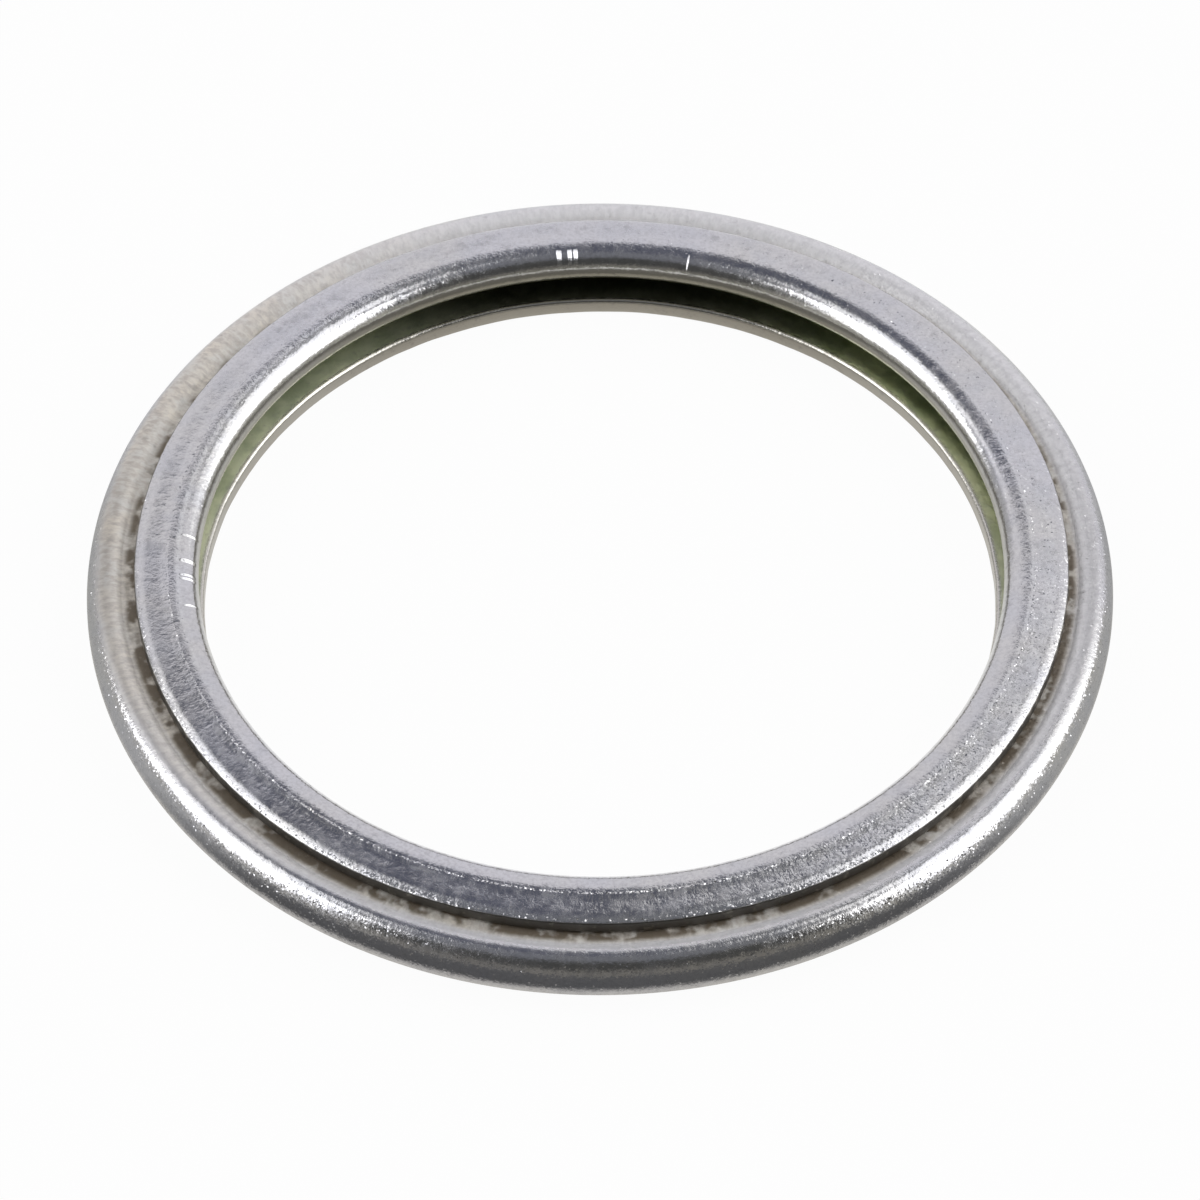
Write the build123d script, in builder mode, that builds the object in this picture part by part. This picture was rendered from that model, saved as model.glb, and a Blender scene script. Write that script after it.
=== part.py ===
from build123d import *
from math import acos, cos, degrees, radians, sin
import os

# Folded steel crush gasket for a drain plug: a flat ring made from one strip of sheet steel.
# Its section is an S of three layers. From the bore outward, the bottom layer runs from the
# lower lip to the outer roll; the roll carries the strip up and back; the middle layer runs
# inward under the cover; and the inner fold turns it out again as the cover, the top layer,
# which ends at its cut edge. The room between the bottom and middle layers is what crushes.
# Millimetres, +Z up, origin at the centre of the face that the ring rests on.

# Strip and bore
sheet = 0.45  # thickness of the strip
bore_diameter = 20.1  # across the lower lip; a 20 mm plug passes with a little play

# Widths, one after another, outward from the lip
fold_setback = 0.13  # from the lip back to the face of the inner fold
smooth_band = 0.08  # level top of the fold, which the press leaves smooth
bevel_width = 0.22  # steep inner part of the pressed land
slope_width = 0.33  # its shallow outer part
drawn_width = 0.31  # edge of the cover, drawn down by the blanking die
valley_width = 0.27  # open floor between the cut edge and the foot of the roll

# Inside radii of the bends
fold_inside_radius = 0.02
shoulder_inside_radius = 0.70
foot_inside_radius = 0.10
crown_inside_radius = 0.05
roll_inside_radius = 0.35

# Inner fold: its tight bend passes into a wide shoulder before the cover lies level
shoulder_lean = 17.5  # slope that the shoulder takes out, degrees

# Outer roll: the wide bend of its wall passes into the tight bend of its crown
wall_lean = 41.0  # slope of the outward normal where one bend passes into the other, degrees
valley_depth = 0.12  # crown of the roll down to the valley floor

# Pressed land of the cover: how far each part of it ends below the smooth band
bevel_depth = 0.039
slope_depth = 0.059
edge_depth = 0.155

# Cut edges of the strip
draw_lean = 4.0  # slope with which the drawn edge leaves the land, degrees
cut_break = 0.04  # bevel of the cut's upper edge
burr_break = 0.03  # the far side of the same cut
lip_round = 0.09  # both edges of the lower lip, tumbled

# Bend radii at the middle of the strip's thickness, which is where its line is drawn
half = sheet / 2
fold_radius = fold_inside_radius + half
shoulder_radius = shoulder_inside_radius + half
foot_radius = foot_inside_radius + half
crown_radius = crown_inside_radius + half
roll_radius = roll_inside_radius + half

# Angle by which the crown bend runs on past the top before the foot bend turns it level
crown_tuck = degrees(acos(1 - valley_depth / (crown_radius + foot_radius)))

# Stations along the radius
lip_r = bore_diameter / 2
fold_r = lip_r + fold_setback + fold_radius + half
band_r = fold_r + (shoulder_radius - fold_radius) * sin(radians(shoulder_lean))
land_r = band_r + smooth_band
bevel_r = land_r + bevel_width
slope_r = bevel_r + slope_width
cover_r = slope_r + drawn_width
foot_r = cover_r + valley_width
crown_r = foot_r + (crown_radius + foot_radius) * sin(radians(crown_tuck))
roll_r = crown_r - (roll_radius - crown_radius) * cos(radians(wall_lean))

with BuildPart() as folded_ring:
    with BuildSketch(Plane.XZ) as section:
        with BuildLine() as strip:
            bottom = Line((lip_r, half), (roll_r, half))
            roll = JernArc(bottom @ 1, bottom % 1, roll_radius, 90 + wall_lean)
            crown = JernArc(roll @ 1, roll % 1, crown_radius, 90 - wall_lean + crown_tuck)
            foot = JernArc(crown @ 1, crown % 1, foot_radius, -crown_tuck)
            middle = Line(foot @ 1, (fold_r, (foot @ 1).Y))
            fold = JernArc(middle @ 1, middle % 1, fold_radius, shoulder_lean - 180)
            shoulder = JernArc(fold @ 1, fold % 1, shoulder_radius, -shoulder_lean)
            cover = Line(shoulder @ 1, (cover_r, (shoulder @ 1).Y))
        trace(line_width=sheet)
        cover_top = (cover @ 1).Y + half
        with BuildLine() as pressed:
            land = Polyline(
                (cover_r, cover_top),
                (land_r, cover_top),
                (bevel_r, cover_top - bevel_depth),
                (slope_r, cover_top - slope_depth),
            )
            drawn = TangentArc(
                land @ 1,
                (cover_r, cover_top - edge_depth),
                tangent=(cos(radians(draw_lean)), -sin(radians(draw_lean))),
            )
            Line(drawn @ 1, land @ 0)
        make_face(mode=Mode.SUBTRACT)
        lip_corners = section.vertices().group_by(Axis.X)[0]
        fillet(lip_corners, lip_round)
        upper_cut = section.vertices().sort_by_distance((cover_r, cover_top - edge_depth))[0]
        chamfer(upper_cut, cut_break)
        lower_cut = section.vertices().sort_by_distance((cover_r, cover_top - sheet))[0]
        chamfer(lower_cut, burr_break)
    revolve(axis=Axis.Z)

folded_ring.part.label = "folded_ring"
os.makedirs("parts", exist_ok=True)
export_step(folded_ring.part, "parts/folded_ring.step")
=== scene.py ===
from math import acos, atan2, cos, degrees, pi, radians, sin, tan

import bpy
from mathutils import Matrix, Vector


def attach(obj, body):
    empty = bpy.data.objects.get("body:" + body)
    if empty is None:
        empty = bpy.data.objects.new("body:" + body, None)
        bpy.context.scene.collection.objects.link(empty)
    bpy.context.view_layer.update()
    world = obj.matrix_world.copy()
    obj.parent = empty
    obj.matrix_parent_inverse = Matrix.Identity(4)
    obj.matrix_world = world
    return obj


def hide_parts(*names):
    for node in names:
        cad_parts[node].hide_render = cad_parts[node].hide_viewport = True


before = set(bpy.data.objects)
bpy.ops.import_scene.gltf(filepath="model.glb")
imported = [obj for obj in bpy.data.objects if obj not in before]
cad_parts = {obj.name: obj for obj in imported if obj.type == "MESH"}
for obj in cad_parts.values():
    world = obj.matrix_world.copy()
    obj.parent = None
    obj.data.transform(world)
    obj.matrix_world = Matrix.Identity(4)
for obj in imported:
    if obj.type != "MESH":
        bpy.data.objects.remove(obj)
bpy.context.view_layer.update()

# Folded ring: the whole gasket, one strip of zinc-plated steel sheet bent into an S of three layers.
# A flat bottom runs out into a round outer roll, comes back in under the cover, and folds over the
# inner edge to the cover, whose outer edge is a sheared cut.  Sizes are in metres, +Z up.

MM = 0.001
sheet = 0.45 * MM
bore_radius = 10.05 * MM
fold_setback = 0.13 * MM
smooth_band = 0.08 * MM
bevel_width = 0.22 * MM
slope_width = 0.33 * MM
drawn_width = 0.31 * MM
valley_width = 0.27 * MM
fold_inside_radius = 0.02 * MM
shoulder_inside_radius = 0.70 * MM
foot_inside_radius = 0.10 * MM
crown_inside_radius = 0.05 * MM
roll_inside_radius = 0.35 * MM
shoulder_lean = 17.5
wall_lean = 41.0
valley_depth = 0.12 * MM
bevel_depth = 0.039 * MM
slope_depth = 0.059 * MM
edge_depth = 0.155 * MM
band_rise = 0.004 * MM
draw_lean = 4.0
cut_round = 0.05 * MM
burr_round = 0.03 * MM
lip_round = 0.09 * MM

fold_outside_radius = fold_inside_radius + sheet
shoulder_outside_radius = shoulder_inside_radius + sheet
foot_outside_radius = foot_inside_radius + sheet
crown_outside_radius = crown_inside_radius + sheet
roll_outside_radius = roll_inside_radius + sheet
crown_tuck = degrees(acos(1 - valley_depth / (crown_outside_radius + foot_inside_radius)))
fold_r = bore_radius + fold_setback + fold_outside_radius
band_r = fold_r + (shoulder_inside_radius - fold_inside_radius) * sin(radians(shoulder_lean))
land_r = band_r + smooth_band
bevel_r = land_r + bevel_width
slope_r = bevel_r + slope_width
cover_r = slope_r + drawn_width
foot_r = cover_r + valley_width
crown_r = foot_r + (crown_outside_radius + foot_inside_radius) * sin(radians(crown_tuck))
roll_r = crown_r - (roll_outside_radius - crown_outside_radius) * cos(radians(wall_lean))
# How far from its two ends a flat stretch keeps an extra point, by how sharp the corner there is.
at_soft_corner = 0.06 * MM
at_plain_corner = 0.02 * MM
at_sharp_corner = 0.008 * MM


class Outline:
    """Walks round the section: x outwards, y up, metal on the left, distance kept for every point."""

    def __init__(self, x, y, heading):
        self.place = Vector((x, y))
        self.heading = radians(heading)
        self.points = [self.place.copy()]
        self.along = [0.0]
        self.marks = {}

    def mark(self, name):
        self.marks[name] = self.along[-1]

    def reach(self, point):
        self.along.append(self.along[-1] + (point - self.place).length)
        self.place = point
        self.points.append(point.copy())

    def straight(self, x=None, y=None, pieces=1, soft=(at_plain_corner, at_plain_corner)):
        """A flat stretch.  The extra points near its ends keep its shading flat up to them."""
        start = self.place.copy()
        end = Vector((start.x if x is None else x, start.y if y is None else y))
        step = (end - start).normalized()
        inner_start, inner_end = start + step * soft[0], end - step * soft[1]
        for piece in range(pieces + 1):
            self.reach(inner_start.lerp(inner_end, piece / pieces))
        self.reach(end)
        self.heading = atan2(step.y, step.x)

    def bend(self, radius, turn, pieces):
        """A round stretch: turn is in degrees, positive to the left."""
        side = 1 if turn > 0 else -1
        centre = self.place + radius * side * Vector((-sin(self.heading), cos(self.heading)))
        arm = self.place - centre
        for piece in range(1, pieces + 1):
            angle = radians(turn) * piece / pieces
            self.reach(centre + Matrix.Rotation(angle, 2) @ arm)
        self.heading += radians(turn)


drawn_chord = atan2(edge_depth - slope_depth, drawn_width)
edge_lean = 2 * degrees(drawn_chord) - draw_lean
drawn_radius = (drawn_width / cos(drawn_chord)) / (2 * sin(drawn_chord - radians(draw_lean)))

valley_under_cover = 0.3 * MM

outline = Outline(roll_r, sheet, 180)
outline.straight(x=bore_radius + lip_round)
outline.mark("lip")
outline.bend(lip_round, 90, pieces=5)
outline.straight(y=lip_round)
outline.bend(lip_round, 90, pieces=5)
outline.mark("bottom")
outline.straight(x=roll_r, pieces=2)
outline.mark("roll")
outline.bend(roll_outside_radius, 90 + wall_lean, pieces=15)
outline.mark("crown")
outline.bend(crown_outside_radius, 90 - wall_lean + crown_tuck, pieces=10)
outline.mark("foot")
outline.bend(foot_inside_radius, -crown_tuck, pieces=4)
outline.mark("valley")
outline.straight(x=cover_r - valley_under_cover)
outline.straight(x=fold_r)
outline.mark("tuck")
outline.bend(fold_inside_radius, shoulder_lean - 180, pieces=5)
outline.bend(shoulder_inside_radius, -shoulder_lean, pieces=2)
outline.straight(x=cover_r - burr_round)
outline.mark("burr")
outline.bend(burr_round, 90, pieces=3)
cover_top = outline.place.y - burr_round + sheet
cut_setback = cut_round * tan(radians(90 - edge_lean) / 2)
rounded_turn = degrees(cut_setback / drawn_radius)
outline.straight(y=cover_top - edge_depth - cut_setback)
outline.bend(cut_round, 90 - edge_lean + rounded_turn, pieces=4)
outline.mark("draw")
outline.bend(drawn_radius, edge_lean - rounded_turn - draw_lean, pieces=6)
outline.straight(bevel_r, cover_top - bevel_depth, soft=(at_soft_corner, at_soft_corner))
outline.mark("bevel")
outline.straight(land_r, cover_top - band_rise, soft=(at_soft_corner, at_sharp_corner))
outline.mark("land")
outline.straight(band_r, cover_top, soft=(at_sharp_corner, at_plain_corner))
outline.mark("band")
outline.heading = pi
outline.bend(shoulder_outside_radius, shoulder_lean, pieces=6)
outline.mark("fold")
outline.bend(fold_outside_radius, 180 - shoulder_lean, pieces=18)
outline.mark("ceiling")
outline.straight(x=foot_r)
outline.mark("inner crown")
outline.bend(foot_outside_radius, crown_tuck, pieces=3)
outline.bend(crown_inside_radius, -(90 - wall_lean + crown_tuck), pieces=4)
outline.bend(roll_inside_radius, -(90 + wall_lean), pieces=9)
marks = outline.marks
loop = outline.points[:-1]


class Signal:
    """One output socket of a node tree.  Sums, products and quotients of signals add Math nodes."""

    def __init__(self, tree, socket):
        self.tree = tree
        self.socket = socket

    def math(self, operation, first, second):
        return self.tree.node("ShaderNodeMath", {"operation": operation}, {0: first, 1: second})

    def __add__(self, other):
        return self.math("ADD", self, other)

    def __sub__(self, other):
        return self.math("SUBTRACT", self, other)

    def __rsub__(self, other):
        return self.math("SUBTRACT", other, self)

    def __mul__(self, other):
        return self.math("MULTIPLY", self, other)

    def __truediv__(self, other):
        return self.math("DIVIDE", self, other)

    __radd__ = __add__
    __rmul__ = __mul__


class Nodes:
    """A node tree that is filled by one method."""

    def __init__(self, tree):
        self.tree = tree

    def node(self, kind, settings=None, sockets=None, output=0):
        made = self.tree.nodes.new(kind)
        for name, value in (settings or {}).items():
            setattr(made, name, value)
        for name, value in (sockets or {}).items():
            socket = made.inputs[name]
            if isinstance(value, Signal):
                self.tree.links.new(value.socket, socket)
            elif socket.type == "RGBA":
                socket.default_value = (*value, 1)
            else:
                socket.default_value = value
        return Signal(self, made.outputs[output]) if len(made.outputs) else made

    def math(self, operation, first, second=0.0):
        return self.node("ShaderNodeMath", {"operation": operation}, {0: first, 1: second})

    def part(self, vector, axis):
        return self.node("ShaderNodeSeparateXYZ", {}, {0: vector}, axis)

    def ramp(self, value, low, high):
        """0 below low, 1 above high, smooth between."""
        settings = {"interpolation_type": "SMOOTHSTEP"}
        return self.node("ShaderNodeMapRange", settings, {0: value, 1: low, 2: high})

    def stretch(self, value, start, end, soft):
        """1 between start and end, with soft sides."""
        return self.ramp(value, start - soft, start + soft) * (1 - self.ramp(value, end - soft, end + soft))

    def vector(self, operation, first, second=None, scale=None, output=0):
        sockets = {0: first}
        if second is not None:
            sockets[1] = second
        if scale is not None:
            sockets["Scale"] = scale
        return self.node("ShaderNodeVectorMath", {"operation": operation}, sockets, output)

    def noise(self, vector, size, detail=2.0, roughness=0.5):
        """Soft noise between about 0.2 and 0.8 whose lumps are about size across."""
        sockets = {"Vector": vector, "Scale": 1 / size, "Detail": detail, "Roughness": roughness}
        return self.node("ShaderNodeTexNoise", {}, sockets)

    def spots(self, vector, size, low, high):
        """1 at the middle of each scattered spot, 0 past its edge."""
        near = self.node("ShaderNodeTexVoronoi", {}, {"Vector": vector, "Scale": 1 / size})
        return 1 - self.ramp(near, low, high)

    def mix(self, factor, first, second):
        return self.node("ShaderNodeMix", {"data_type": "RGBA"}, {0: factor, 6: first, 7: second}, 2)


# The sweep carries the section round the ring and sets the cover a little off centre, as folded.
sweep = bpy.data.node_groups.new("ring sweep", "GeometryNodeTree")
sockets = {}
for name, kind in (
    ("Section", "NodeSocketGeometry"),
    ("Segments", "NodeSocketInt"),
    ("Path radius", "NodeSocketFloat"),
    ("Cover shift", "NodeSocketFloat"),
    ("Lip unevenness", "NodeSocketFloat"),
    ("Cut unevenness", "NodeSocketFloat"),
    ("Waviness", "NodeSocketFloat"),
    ("Finish", "NodeSocketMaterial"),
):
    sockets[name] = sweep.interface.new_socket(name, in_out="INPUT", socket_type=kind).identifier
sweep.interface.new_socket("Ring", in_out="OUTPUT", socket_type="NodeSocketGeometry")
g = Nodes(sweep)
entry = sweep.nodes.new("NodeGroupInput")


def given(name):
    return Signal(g, entry.outputs[name])


profile = g.node("GeometryNodeMeshToCurve", {}, {"Mesh": given("Section")})
circle_size = {"Resolution": given("Segments"), "Radius": given("Path radius")}
path = g.node("GeometryNodeCurvePrimitiveCircle", {"mode": "RADIUS"}, circle_size)
tube = g.node("GeometryNodeCurveToMesh", {}, {"Curve": path, "Profile Curve": profile})
place = g.node("GeometryNodeInputPosition")
strip = g.node("GeometryNodeInputNamedAttribute", {"data_type": "FLOAT"}, {"Name": "strip"})
level = g.node("ShaderNodeCombineXYZ", {}, {0: g.part(place, 0), 1: g.part(place, 1)})
outwards = g.vector("NORMALIZE", level)
fold_part = g.ramp(strip, marks["valley"], marks["tuck"])
fold_part = fold_part * (1 - g.ramp(strip, marks["ceiling"], marks["inner crown"]))
cut_part = g.stretch(strip, marks["burr"] - 0.05 * MM, marks["draw"], soft=0.04 * MM)
lip_part = g.stretch(strip, marks["lip"] - 0.1 * MM, marks["bottom"] + 0.1 * MM, soft=0.1 * MM)
# Sizes of the uneven lumps, as an angle round the ring in radians.
lip_lump = 0.17
cut_lump = 0.017
wave_lump = 0.6
lip_noise = g.noise(outwards, lip_lump, detail=3.0) - 0.5
cut_noise = g.noise(outwards, cut_lump, detail=2.0) - 0.5
wave_noise = g.noise(outwards, wave_lump, detail=1.0) - 0.5
radial = lip_part * lip_noise * given("Lip unevenness") + cut_part * cut_noise * given("Cut unevenness")
rise = fold_part * wave_noise * given("Waviness")
sideways = g.node("ShaderNodeCombineXYZ", {}, {0: fold_part * given("Cover shift"), 2: rise})
offset = g.vector("ADD", g.vector("SCALE", outwards, scale=radial), sideways)
moved = g.node("GeometryNodeSetPosition", {}, {"Geometry": tube, "Offset": offset})
outside = g.node("GeometryNodeFlipFaces", {}, {"Mesh": moved})
smooth = g.node("GeometryNodeSetShadeSmooth", {}, {"Geometry": outside})
real = g.node("GeometryNodeRealizeInstances", {}, {"Geometry": smooth})
finished = g.node("GeometryNodeSetMaterial", {}, {"Geometry": real, "Material": given("Finish")})
leave = sweep.nodes.new("NodeGroupOutput")
sweep.links.new(finished.socket, leave.inputs[0])

# The finish: clear passivated zinc, grained by rolling, matt where the foot bend stretched it and
# stained brown in the valley, with the die's drag lines across the pressed land.  Shade is painted in
# too: darker in front on the valley and the cut, at the sides and in front on the matt zone, under the
# fold and on the hollow's far side.
plating = bpy.data.materials.new("zinc plated steel")
plating.use_nodes = True
plating.node_tree.nodes.clear()
m = Nodes(plating.node_tree)
here = m.node("ShaderNodeTexCoord", {}, {}, "Object")
strip = m.node("ShaderNodeAttribute", {"attribute_name": "strip"}, {}, "Fac")
level = m.node("ShaderNodeCombineXYZ", {}, {0: m.part(here, 0), 1: m.part(here, 1)})
outwards = m.vector("NORMALIZE", level)
rightward = m.part(outwards, 0)
backward = m.part(outwards, 1)
bearing = m.math("ARCTAN2", backward, rightward) * (180 / pi)


def zone(start, end, soft, before=0.0, after=0.0):
    """1 on the strip from one mark to another, each moved along by a given length."""
    return m.stretch(strip, marks[start] + before, marks[end] + after, soft)


on_hollow = 1 - m.ramp(strip, marks["lip"] - 0.1 * MM, marks["lip"] + 0.05 * MM)
on_lip = zone("lip", "bottom", soft=0.03 * MM)
on_roll = zone("roll", "crown", soft=0.1 * MM, after=0.1 * MM)
nearness = m.ramp(0 - backward, -0.2, 0.9)
leftness = m.ramp(0 - rightward, 0.2, 0.9)
matt_start = marks["crown"] - 0.05 * MM + nearness * (0.40 * MM) - leftness * (0.10 * MM)
matt = m.ramp(strip, matt_start, matt_start + 0.40 * MM)
matt = matt * (1 - m.ramp(strip, marks["burr"] - 0.2 * MM, marks["burr"]))
chalky = m.ramp(strip, marks["foot"] - 0.45 * MM, marks["foot"] - 0.10 * MM)
chalky = chalky * (1 - m.ramp(strip, marks["burr"] - 0.2 * MM, marks["burr"]))
on_valley = zone("valley", "burr", soft=0.10 * MM)
rightness = m.ramp(rightward, 0.0, 0.6)
sideness = m.ramp(rightward * rightward, 0.05, 0.35)
farness = m.ramp(backward, 0.8, 1.0)
on_cut = zone("burr", "draw", soft=0.02 * MM)
on_land = zone("draw", "land", soft=0.02 * MM, before=0.15 * MM)
on_bevel = zone("bevel", "land", soft=0.015 * MM, before=-0.15 * MM)
on_edge = zone("draw", "draw", soft=0.03 * MM, before=-0.02 * MM, after=0.12 * MM)
on_rim = zone("land", "land", soft=0.012 * MM, before=-0.04 * MM, after=0.012 * MM)
on_fold = m.stretch(strip, marks["band"] + 0.1 * MM, marks["ceiling"], soft=0.05 * MM)
low_fold = m.ramp(strip, marks["fold"] + 0.1 * MM, marks["fold"] + 0.7 * MM)

# Sizes of the patterns, from wide clouds of the plating down to its grain and flakes.
large_size = 5 * MM
cloud_size = 0.9 * MM
blotch_size = 0.62 * MM
spot_size = 0.44 * MM
mottle_size = 0.28 * MM
grain_size = 0.09 * MM
flake_size = 0.038 * MM
pit_spacing = 0.9 * MM
streaks_per_radian = 100.0
streak_length = 0.25 * MM
large = m.noise(here, large_size, detail=2.0)
cloud = m.noise(here, cloud_size, detail=3.0)
mottle = m.noise(here, mottle_size, detail=3.0, roughness=0.6)
grain = m.noise(here, grain_size, detail=2.0, roughness=0.6)
streak_path = m.vector("ADD", m.vector("SCALE", outwards, scale=streaks_per_radian),
                       m.node("ShaderNodeCombineXYZ", {}, {2: strip / streak_length}))
streak = m.noise(streak_path, 1.0, detail=2.0, roughness=0.6)

cool_zinc = (0.77, 0.765, 0.80)
plain_zinc = (0.77, 0.76, 0.76)
blue_zinc = (0.62, 0.64, 0.71)
grain_grey = (0.54, 0.54, 0.56)
fold_shaded_beige = (0.60, 0.59, 0.52)
clear_light = (0.87, 0.86, 0.88)
clear_dark = (0.77, 0.76, 0.78)
bloom_light = (0.86, 0.80, 0.71)
bloom_grey = (0.80, 0.78, 0.74)
bloom_dark = (0.64, 0.59, 0.54)
groove_light = (0.93, 0.97, 0.74)
groove_olive = (0.66, 0.72, 0.52)
groove_shaded = (0.42, 0.44, 0.34)
lip_grey = (0.68, 0.66, 0.61)
cut_bare = (0.36, 0.34, 0.30)
cut_dark_and_front_shade = (0.12, 0.115, 0.105)
valley_brown = (0.52, 0.48, 0.42)
stain_brown = (0.15, 0.115, 0.075)
dark_grey = (0.22, 0.21, 0.22)

steel = m.mix(m.ramp(large, 0.42, 0.6), cool_zinc, plain_zinc)
steel = m.mix(m.ramp(cloud, 0.35, 0.7) * 0.35, steel, blue_zinc)
steel = m.mix(m.ramp(grain, 0.35, 0.7) * 0.35, steel, grain_grey)
# The fold's lower part, turned under into the hollow, is painted darker and browner: painted shade.
steel = m.mix(on_fold * low_fold, steel, fold_shaded_beige)
clear = m.mix(m.ramp(streak, 0.3, 0.7), clear_light, clear_dark)
warm = m.mix(m.ramp(cloud, 0.35, 0.65), bloom_light, bloom_grey)
bloom = m.mix(m.ramp(streak, 0.35, 0.7), warm, bloom_dark)
warmth = m.math("MAXIMUM", leftness * (1 - 0.6 * nearness), on_valley)
# The matt zone is painted darker at the sides and in front than behind: painted shade, left off the chalky
# foot.
painted_side_shade = 0.30 * (1 - m.ramp(backward, -0.1, 0.6)) * (1 - chalky)
steel = m.mix(matt, steel, m.vector("SCALE", m.mix(warmth, clear, bloom), scale=1 - painted_side_shade))
groove_green = m.mix(m.ramp(cloud, 0.4, 0.65), groove_light, groove_olive)
# The hollow is painted darker on the far side of the ring: painted shade.
groove_green = m.mix(farness, groove_green, groove_shaded)
in_groove = on_hollow + m.ramp(strip, marks["ceiling"] - 0.1 * MM, marks["ceiling"])
steel = m.mix(in_groove, steel, groove_green)
steel = m.mix(on_lip, steel, lip_grey)
# The cut face is mottled at random between bare and dark, and pushed darker towards the front: painted shade
# there.
cut_colour_and_shade = m.mix(m.ramp(mottle + nearness * 0.2, 0.35, 0.65), cut_bare, cut_dark_and_front_shade)
steel = m.mix(on_cut, steel, cut_colour_and_shade)
spot = m.spots(here, spot_size, 0.15, 0.60)
blotch = m.noise(here, blotch_size, detail=2.0, roughness=0.55)
near_cut = zone("valley", "burr", soft=0.09 * MM, before=0.05 * MM)
# The brown stain by the cut comes from random blotches and spots, a little more on the left; it is also
# pushed darker towards the front, which is painted shade.
stain_left_and_front_shade = 0.05 * leftness + 0.12 * nearness
stain_and_front_shade = near_cut * m.ramp(blotch + mottle * 0.25 + spot * 0.20 * rightness + stain_left_and_front_shade, 0.60, 0.78)
steel = m.mix(on_valley * m.ramp(mottle, 0.35, 0.65) * 0.6, steel, valley_brown)
steel = m.mix(stain_and_front_shade * 0.9, steel, stain_brown)
pits = m.spots(here, pit_spacing, 0.04, 0.09) * on_land
dark = m.ramp(mottle, 0.55, 0.75) * 0.22 + pits * 0.10
steel = m.mix(dark, steel, dark_grey)

dull = 0.15 + 0.10 * m.ramp(mottle, 0.35, 0.75)
dull = dull + matt * (0.33 - 0.15 * rightness) + on_cut * 0.25 + on_hollow * 0.15
dull = dull + (on_land + on_roll) * m.ramp(cloud * 0.6 + mottle * 0.5, 0.42, 0.72) * 0.07

relief = (grain - 0.5) * (0.006 + 0.002 * matt - 0.003 * on_fold - 0.003 * on_land)
relief = relief + (mottle - 0.5) * 0.010 + (cloud - 0.5) * 0.008
relief = relief + (streak - 0.5) * (on_bevel * 0.005 + on_land * 0.002 + matt * 0.007 + on_roll * 0.010)
bump = m.node("ShaderNodeBump", {}, {"Height": relief, "Distance": MM, "Strength": 1.0})
flake = m.node("ShaderNodeTexVoronoi", {}, {"Vector": here, "Scale": 1 / flake_size}, "Color")
lean = m.vector("SUBTRACT", flake, (0.5, 0.5, 0.5))
steep = m.vector("DOT_PRODUCT", lean, lean, output=1)
sparkle = on_roll * (0.5 + 0.5 * sideness) + on_land * (0.08 + 0.40 * rightness)
sparkle = sparkle + on_rim * (0.8 + 2.2 * nearness)
sparkle = sparkle + on_edge * (0.9 - 0.7 * farness) + matt * (0.3 + 0.6 * rightness) + on_fold * 0.2
facet = m.vector("SCALE", lean, scale=steep * steep * sparkle * 2.0)
# Nicks across the fold, each by its bearing and width in degrees.
nick_places = ((95.7, 0.8), (94.15, 0.7), (93.3, 0.7), (77.0, 0.2), (109.8, 0.2), (176.5, 0.3),
               (-178.9, 0.6), (-176.3, 0.35), (-175.6, 0.35), (-170.7, 0.3))
nick_soft = 0.12
nick = sum(m.stretch(bearing, middle - width / 2, middle + width / 2, nick_soft)
           for middle, width in nick_places)
nick = nick * zone("fold", "fold", soft=0.10 * MM, before=-0.10 * MM, after=0.35 * MM)
across = m.node("ShaderNodeCombineXYZ", {}, {0: 0 - backward, 1: rightward})
dent = m.vector("SCALE", across, scale=nick * 0.38)
normal = m.vector("NORMALIZE", m.vector("ADD", m.vector("ADD", bump, facet), dent))
metallic = 1 - 0.3 * matt - 0.5 * chalky - 0.5 * on_hollow * leftness
shader = m.node("ShaderNodeBsdfPrincipled", {}, {
    "Base Color": steel, "Metallic": metallic, "Roughness": dull, "Normal": normal})
m.node("ShaderNodeOutputMaterial", {}, {"Surface": shader})

path_radius = 11.5 * MM
section = bpy.data.meshes.new("ring section")
count = len(loop)
edges = [(i, (i + 1) % count) for i in range(count)]
section.from_pydata([(p.x - path_radius, -p.y, 0) for p in loop], edges, [])
section.attributes.new("strip", "FLOAT", "POINT").data.foreach_set("value", outline.along[:-1])
host = bpy.data.objects.new("ring section", section)
bpy.context.collection.objects.link(host)
modifier = host.modifiers.new("ring sweep", "NODES")
modifier.node_group = sweep
modifier[sockets["Segments"]] = 730
modifier[sockets["Path radius"]] = path_radius
modifier[sockets["Cover shift"]] = 0.04 * MM
modifier[sockets["Lip unevenness"]] = 0.06 * MM
modifier[sockets["Cut unevenness"]] = 0.04 * MM
modifier[sockets["Waviness"]] = 0.015 * MM
modifier[sockets["Finish"]] = plating
evaluated = host.evaluated_get(bpy.context.evaluated_depsgraph_get())
ring_mesh = bpy.data.meshes.new_from_object(evaluated)
ring = bpy.data.objects.new("plated_ring", ring_mesh)
bpy.context.collection.objects.link(ring)
bpy.data.objects.remove(host)
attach(ring, "root")
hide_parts("folded_ring")

# Studio: a dim room with a pale sheet behind the ring and a softbox high at each side.  The metal
# mirrors these, while the camera sees plain white behind the ring.
room_top = (0.17, 0.175, 0.19)
room_dark = (0.065, 0.065, 0.062)
room_low = (0.21, 0.20, 0.18)
backdrop_white = (0.97, 0.97, 0.97)
world = bpy.data.worlds.new("studio dome")
bpy.context.scene.world = world
world.use_nodes = True
world.node_tree.nodes.clear()
w = Nodes(world.node_tree)
direction = w.node("ShaderNodeTexCoord", {}, {}, "Generated")
side = w.math("ARCTAN2", w.part(direction, 0), w.part(direction, 1)) * (180 / pi)
height = w.math("ARCSINE", w.part(direction, 2)) * (180 / pi)
dome = w.mix(w.ramp(height, 50, 75), room_dark, room_top)
dome = w.mix(w.ramp(height, 5, 30), room_low, dome)
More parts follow.
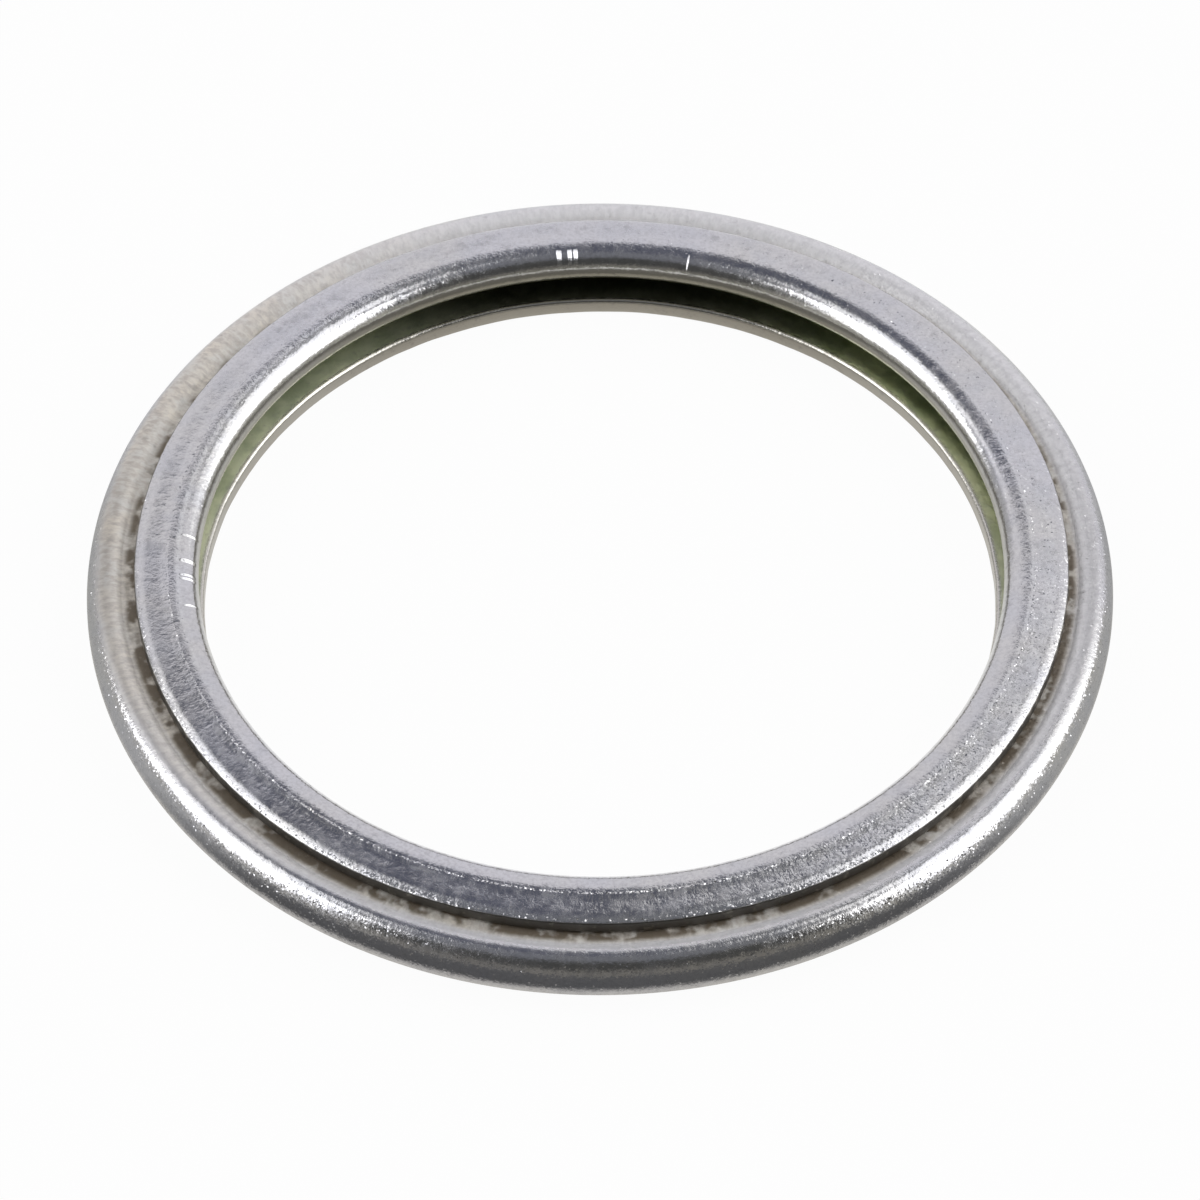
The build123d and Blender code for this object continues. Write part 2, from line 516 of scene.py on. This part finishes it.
# Each card: its side from and to (0 is behind the ring, 90 to the right), its height from and to,
# how soft its edges are, all in degrees, and its light.
for left, right, low, high, soft, light in (
    (-135, 130, 38, 60, 12, (0.24, 0.24, 0.24)),
    (-135, -62, -40, 24, 10, (0.42, 0.41, 0.38)),
    (62, 130, -40, 20, 10, (0.45, 0.44, 0.40)),
    (-60, -6, 40, 53, 5, (0.46, 0.46, 0.48)),
    (-60, 60, -40, 49.5, 2, (0.72, 0.71, 0.74)),
    (-66, -48, -20, 34, 8, (0.40, 0.40, 0.41)),
    (-84, -43, 46, 71, 6, (1.25, 1.25, 1.25)),
    (35, 84, 46, 73, 5, (1.35, 1.35, 1.35)),
    (-30, 6, 51, 88, 5, (0.095, 0.10, 0.13)),
    (6, 21, 47, 60, 3, (0.92, 0.92, 0.94)),
    (46, 66, 25, 49, 5, (1.2, 1.2, 1.2)),
    (-121, -70, 15, 60, 5, (2.4, 2.4, 2.4)),
    (62, 120, 14, 58, 5, (2.4, 2.4, 2.4)),
):
    card = w.stretch(side, left, right, soft) * w.stretch(height, low, high, soft)
    dome = w.mix(card, dome, light)
sky_seen = w.node("ShaderNodeLightPath", {}, {}, "Is Camera Ray")
dome = w.mix(sky_seen, dome, backdrop_white)
background = w.node("ShaderNodeBackground", {}, {"Color": dome, "Strength": 1.0})
w.node("ShaderNodeOutputWorld", {}, {"Surface": background})

# Floor: a wide sheet just under the ring.  It looks plain white and keeps the ring's shadow.  To the
# metal's mirror rays it glows with painted light and shade: a painted shadow in front, grey at the sides,
# pale behind, a painted shadow of the far wall in the bore and a paler strip by the far lip.  It is clear
# from below, so that the underside can be looked at.
floor_reach = 1.0
floor_top = -0.01 * MM
# From the middle outwards, where one light passes into the next.
under_rim = (13.0 * MM, 13.7 * MM)
in_bore = (9.5 * MM, 10.5 * MM)
bore_border = (8.8 * MM, 9.3 * MM)
white = (1.0, 1.0, 1.0)
front_painted_shadow = (0.05, 0.05, 0.05)
side_painted_light = (0.42, 0.42, 0.41)
back_painted_light = (0.80, 0.80, 0.80)
rim_painted_light = (0.60, 0.58, 0.54)
bore_painted_shadow = (0.12, 0.11, 0.095)
border_painted_light = (0.32, 0.30, 0.26)
floor_mesh = bpy.data.meshes.new("floor")
corners = [(x * floor_reach, y * floor_reach, floor_top) for x, y in ((-1, -1), (1, -1), (1, 1), (-1, 1))]
floor_mesh.from_pydata(corners, [], [(0, 1, 2, 3)])
floor = bpy.data.objects.new("floor", floor_mesh)
bpy.context.collection.objects.link(floor)
floor_paint = bpy.data.materials.new("floor paint")
floor_paint.use_nodes = True
floor_paint.node_tree.nodes.clear()
f = Nodes(floor_paint.node_tree)
camera_ray = f.node("ShaderNodeLightPath", {}, {}, "Is Camera Ray")
glossy_ray = f.node("ShaderNodeLightPath", {}, {}, "Is Glossy Ray")
transmission_ray = f.node("ShaderNodeLightPath", {}, {}, "Is Transmission Ray")
floor_spot = f.node("ShaderNodeTexCoord", {}, {}, "Object")
distance = f.vector("LENGTH", floor_spot, output=1)
facing_back = f.part(floor_spot, 1) / distance
side_light = f.mix(f.ramp(facing_back, -0.80, -0.35), front_painted_shadow, side_painted_light)
outer_light = f.mix(f.ramp(facing_back, 0.1, 0.9), side_light, back_painted_light)
near_light = f.mix(1 - f.ramp(distance, *under_rim), outer_light, rim_painted_light)
across_floor = f.math("ABSOLUTE", f.part(floor_spot, 0))
shaded = f.ramp(f.part(floor_spot, 1), -3 * MM, 5 * MM) * (1 - 0.6 * f.ramp(across_floor, 3 * MM, 8 * MM))
# Painted shadow of the far wall in the bore, with a painted paler strip by the far lip.
bore_light = f.mix(shaded, white, bore_painted_shadow)
bore_light = f.mix(f.ramp(distance, *bore_border) * shaded, bore_light, border_painted_light)
lit = f.mix(1 - f.ramp(distance, *in_bore), near_light, bore_light)
seen = f.mix(camera_ray, lit, white)
glow = f.node("ShaderNodeEmission", {}, {"Color": seen, "Strength": 1.0})
paint = f.node("ShaderNodeBsdfDiffuse", {}, {"Color": (0.8, 0.8, 0.8)})
share = camera_ray * 0.96 + f.math("MAXIMUM", glossy_ray, transmission_ray) * 0.9
both = f.node("ShaderNodeMixShader", {}, {0: share, 1: paint, 2: glow})
under = f.node("ShaderNodeNewGeometry", {}, {}, "Backfacing")
clear_below = f.node("ShaderNodeBsdfTransparent", {}, {"Color": white})
whole = f.node("ShaderNodeMixShader", {}, {0: under, 1: both, 2: clear_below})
f.node("ShaderNodeOutputMaterial", {}, {"Surface": whole})
floor.data.materials.append(floor_paint)

# Camera: a long lens in front of the ring, looking down on it from a height given in degrees.  It
# aims a little below the ring's middle, and is turned a little about its own axis.
view_height = 49.02
view_distance = 160 * MM
frame_drop = 0.646 * MM
frame_turn = -0.25
focal_length = 189.4
sensor_width = 36.0
nearest_seen = 10 * MM
target = Vector((0, 0, 1 * MM))
toward_camera = Vector((0, -cos(radians(view_height)), sin(radians(view_height))))
camera_up = Vector((0, sin(radians(view_height)), cos(radians(view_height))))
stand = target + toward_camera * view_distance
aim = target - camera_up * frame_drop
lens = bpy.data.cameras.new("camera")
lens.lens = focal_length
lens.sensor_width = sensor_width
lens.clip_start = nearest_seen
camera = bpy.data.objects.new("camera", lens)
camera.matrix_world = (Matrix.Translation(stand) @ (stand - aim).to_track_quat("Z", "Y").to_matrix().to_4x4()
                       @ Matrix.Rotation(radians(frame_turn), 4, "Z"))
bpy.context.collection.objects.link(camera)
bpy.context.scene.camera = camera
bpy.context.scene.view_settings.view_transform = "Standard"
